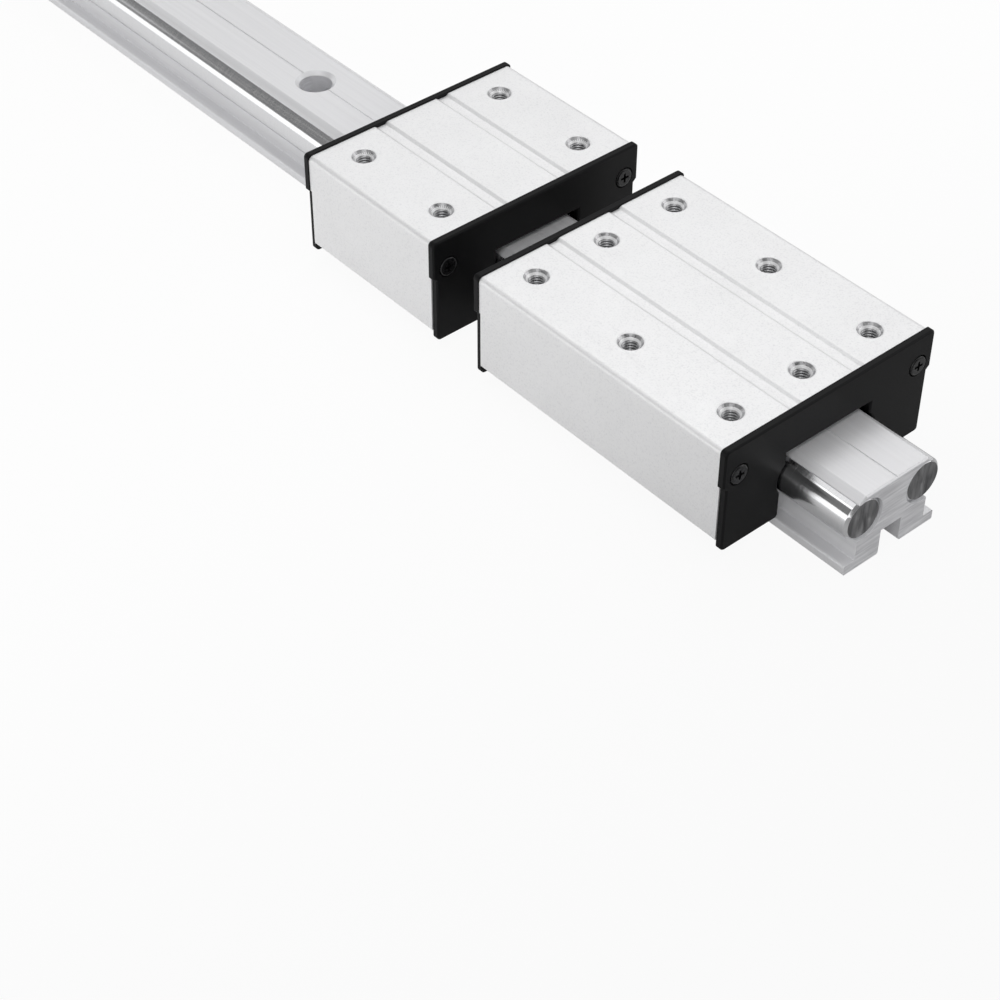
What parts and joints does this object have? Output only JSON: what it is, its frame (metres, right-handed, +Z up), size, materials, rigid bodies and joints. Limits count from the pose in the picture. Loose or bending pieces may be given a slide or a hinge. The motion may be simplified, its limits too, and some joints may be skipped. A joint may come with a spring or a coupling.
{
  "type": "linear guide rail with carriages",
  "caption": "Roller linear guide: aluminium rail with two round steel shafts along its sides, carrying a long and a short flat-topped carriage on grooved rollers.",
  "frame": {"origin": "middle of the rail's underside, midway along the rail", "axes": "+X along the rail towards the end where the long carriage is, +Y across it, +Z up"},
  "size_m": [0.45, 0.0706, 0.0346],
  "materials": {
    "rail_aluminium": "clear anodised, fine drawn lines",
    "carriage_aluminium": "sandblasted and clear anodised",
    "hardened_steel": "ground and polished",
    "bearing_steel": "ground",
    "black_end_plate": "matte black",
    "black_screw": "black oxide"
  },
  "bodies": {
    "rail": {"rail_extrusion": "rail_aluminium", "shaft_left": "hardened_steel", "shaft_right": "hardened_steel"},
    "long_carriage": {"long_body": "carriage_aluminium", "long_front_plate": "black_end_plate", "long_front_left_plate_screw": "black_screw", "long_front_right_plate_screw": "black_screw", "long_back_plate": "black_end_plate", "long_back_left_plate_screw": "black_screw", "long_back_right_plate_screw": "black_screw", "long_front_left_axle_bolt": "black_screw", "long_front_left_inner_ring": "bearing_steel", "long_front_left_spacer": "bearing_steel", "long_front_right_axle_bolt": "black_screw", "long_front_right_inner_ring": "bearing_steel", "long_front_right_spacer": "bearing_steel", "long_back_left_axle_bolt": "black_screw", "long_back_left_inner_ring": "bearing_steel", "long_back_left_spacer": "bearing_steel", "long_back_right_axle_bolt": "black_screw", "long_back_right_inner_ring": "bearing_steel", "long_back_right_spacer": "bearing_steel"},
    "short_carriage": {"short_body": "carriage_aluminium", "short_front_plate": "black_end_plate", "short_front_left_plate_screw": "black_screw", "short_front_right_plate_screw": "black_screw", "short_back_plate": "black_end_plate", "short_back_left_plate_screw": "black_screw", "short_back_right_plate_screw": "black_screw", "short_front_left_axle_bolt": "black_screw", "short_front_left_inner_ring": "bearing_steel", "short_front_left_spacer": "bearing_steel", "short_front_right_axle_bolt": "black_screw", "short_front_right_inner_ring": "bearing_steel", "short_front_right_spacer": "bearing_steel", "short_back_left_axle_bolt": "black_screw", "short_back_left_inner_ring": "bearing_steel", "short_back_left_spacer": "bearing_steel", "short_back_right_axle_bolt": "black_screw", "short_back_right_inner_ring": "bearing_steel", "short_back_right_spacer": "bearing_steel"},
    "long_front_left_roller": {"long_front_left_roller": "bearing_steel"},
    "long_front_right_roller": {"long_front_right_roller": "bearing_steel"},
    "long_back_left_roller": {"long_back_left_roller": "bearing_steel"},
    "long_back_right_roller": {"long_back_right_roller": "bearing_steel"},
    "short_front_left_roller": {"short_front_left_roller": "bearing_steel"},
    "short_front_right_roller": {"short_front_right_roller": "bearing_steel"},
    "short_back_left_roller": {"short_back_left_roller": "bearing_steel"},
    "short_back_right_roller": {"short_back_right_roller": "bearing_steel"}
  },
  "joints": [
    {"name": "long_slide", "type": "slide", "parent": "rail", "child": "long_carriage", "axis": [1, 0, 0], "range_m": [-0.0065, 0.0215]},
    {"name": "short_slide", "type": "slide", "parent": "rail", "child": "short_carriage", "axis": [1, 0, 0], "range_m": [-0.269, 0.0065]},
    {"name": "long_front_left_spin", "type": "hinge", "parent": "long_carriage", "child": "long_front_left_roller", "pos_m": [0.1861, -0.0235, 0.0148], "axis": [0, 0, 1], "continuous": true},
    {"name": "long_front_right_spin", "type": "hinge", "parent": "long_carriage", "child": "long_front_right_roller", "pos_m": [0.1861, 0.0235, 0.0148], "axis": [0, 0, 1], "continuous": true},
    {"name": "long_back_left_spin", "type": "hinge", "parent": "long_carriage", "child": "long_back_left_roller", "pos_m": [0.1311, -0.0235, 0.0148], "axis": [0, 0, 1], "continuous": true},
    {"name": "long_back_right_spin", "type": "hinge", "parent": "long_carriage", "child": "long_back_right_roller", "pos_m": [0.1311, 0.0235, 0.0148], "axis": [0, 0, 1], "continuous": true},
    {"name": "short_front_left_spin", "type": "hinge", "parent": "short_carriage", "child": "short_front_left_roller", "pos_m": [0.0817, -0.0235, 0.0148], "axis": [0, 0, 1], "continuous": true},
    {"name": "short_front_right_spin", "type": "hinge", "parent": "short_carriage", "child": "short_front_right_roller", "pos_m": [0.0817, 0.0235, 0.0148], "axis": [0, 0, 1], "continuous": true},
    {"name": "short_back_left_spin", "type": "hinge", "parent": "short_carriage", "child": "short_back_left_roller", "pos_m": [0.0617, -0.0235, 0.0148], "axis": [0, 0, 1], "continuous": true},
    {"name": "short_back_right_spin", "type": "hinge", "parent": "short_carriage", "child": "short_back_right_roller", "pos_m": [0.0617, 0.0235, 0.0148], "axis": [0, 0, 1], "continuous": true}
  ],
  "couplings": [
    {"joint": "long_front_left_spin", "follows": "long_slide", "rad_per_m": 136.99},
    {"joint": "long_front_right_spin", "follows": "long_slide", "rad_per_m": -136.99},
    {"joint": "long_back_left_spin", "follows": "long_slide", "rad_per_m": 136.99},
    {"joint": "long_back_right_spin", "follows": "long_slide", "rad_per_m": -136.99},
    {"joint": "short_front_left_spin", "follows": "short_slide", "rad_per_m": 136.99},
    {"joint": "short_front_right_spin", "follows": "short_slide", "rad_per_m": -136.99},
    {"joint": "short_back_left_spin", "follows": "short_slide", "rad_per_m": 136.99},
    {"joint": "short_back_right_spin", "follows": "short_slide", "rad_per_m": -136.99}
  ]
}
